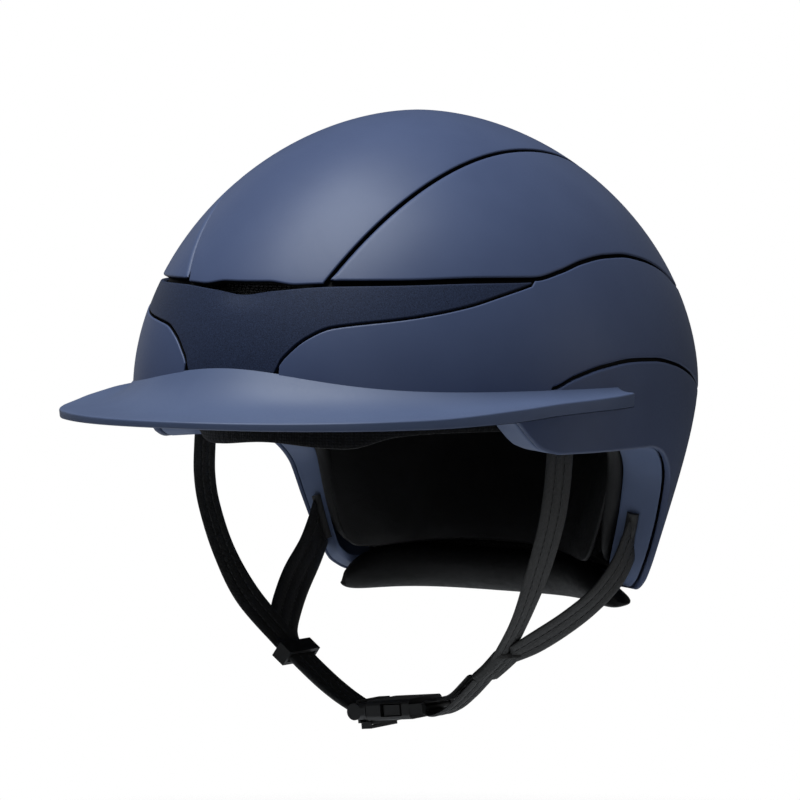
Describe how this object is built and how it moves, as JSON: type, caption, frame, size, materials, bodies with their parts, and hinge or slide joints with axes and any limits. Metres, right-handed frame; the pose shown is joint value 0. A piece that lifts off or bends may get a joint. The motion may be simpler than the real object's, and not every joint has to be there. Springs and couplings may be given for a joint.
{
  "type": "equestrian riding helmet",
  "caption": "Panelled riding helmet with a wide moulded brim, padded lining and a chin harness with a side-release buckle.",
  "frame": {"origin": "middle of the head opening, on the midplane, level with the top of the brim's rear ends", "axes": "front of the helmet is -Y, the wearer's left is +X, the crown is +Z"},
  "size_m": [0.2396, 0.3197, 0.2637],
  "materials": {
    "shell_navy": "soft-touch matte",
    "brim_navy": "soft-touch matte",
    "band_navy": "fine-grained suede-like insert",
    "black_plastic": "satin moulded plastic",
    "foam": "expanded beads",
    "mesh": "open mesh",
    "lining": "brushed knit",
    "leatherette": "smooth satin",
    "webbing": "pebbled, two stitch rows",
    "steel": "plated"
  },
  "bodies": {
    "helmet": {"crown_panel": "shell_navy", "left_upper_panel": "shell_navy", "right_upper_panel": "shell_navy", "front_band": "band_navy", "left_side_panel": "shell_navy", "right_side_panel": "shell_navy", "lower_shell": "shell_navy", "brim": "brim_navy", "brim_screws": "steel", "under_shell": "black_plastic", "impact_liner": "foam", "front_vent_mesh": "mesh", "rear_vent_mesh": "mesh", "rim_wrap": "brim_navy", "crown_pad": "lining", "brow_pad": "lining", "left_side_pad": "lining", "right_side_pad": "lining", "rear_pad": "leatherette", "nape_pad": "leatherette", "strap_anchor_bars": "steel", "left_front_strap": "webbing", "right_front_strap": "webbing", "left_rear_strap": "webbing", "right_rear_strap": "webbing", "left_sewn_patch": "webbing"},
    "chin_loop": {"left_chin_strap": "webbing", "right_chin_strap": "webbing", "buckle_socket": "black_plastic"},
    "slider": {"strap_slider": "black_plastic"},
    "clip": {"buckle_clip": "black_plastic", "strap_tail": "webbing"},
    "prong_front": {"front_prong": "black_plastic"},
    "prong_rear": {"rear_prong": "black_plastic"},
    "keeper": {"tail_keeper": "black_plastic"}
  },
  "joints": [
    {"name": "chin_loop_swing", "type": "hinge", "parent": "helmet", "child": "chin_loop", "pos_m": [0, -0.0196, -0.118], "axis": [1, 0, 0], "range_deg": [-40, 50], "deforming": ["left_chin_strap", "right_chin_strap", "left_sewn_patch", "right_front_strap", "right_rear_strap"]},
    {"name": "slider_shift", "type": "slide", "parent": "chin_loop", "child": "slider", "axis": [0.809, 0, -0.5878], "range_m": [0, 0.012]},
    {"name": "buckle_release", "type": "slide", "parent": "chin_loop", "child": "clip", "axis": [-0.9934, 0, -0.1149], "range_m": [0, 0.02], "deforming": ["right_chin_strap", "front_prong", "rear_prong"]},
    {"name": "front_prong_press", "type": "hinge", "parent": "clip", "child": "prong_front", "pos_m": [-0.0045, -0.0274, -0.1381], "axis": [-0.1149, 0, 0.9934], "range_deg": [0, 6], "stiffness_Nm_per_rad": 0.3},
    {"name": "rear_prong_press", "type": "hinge", "parent": "clip", "child": "prong_rear", "pos_m": [-0.0045, -0.0126, -0.1381], "axis": [0.1149, 0, -0.9934], "range_deg": [0, 6], "stiffness_Nm_per_rad": 0.3},
    {"name": "keeper_shift", "type": "slide", "parent": "clip", "child": "keeper", "axis": [0.9934, 0, 0.1149], "range_m": [0, 0.003]}
  ]
}
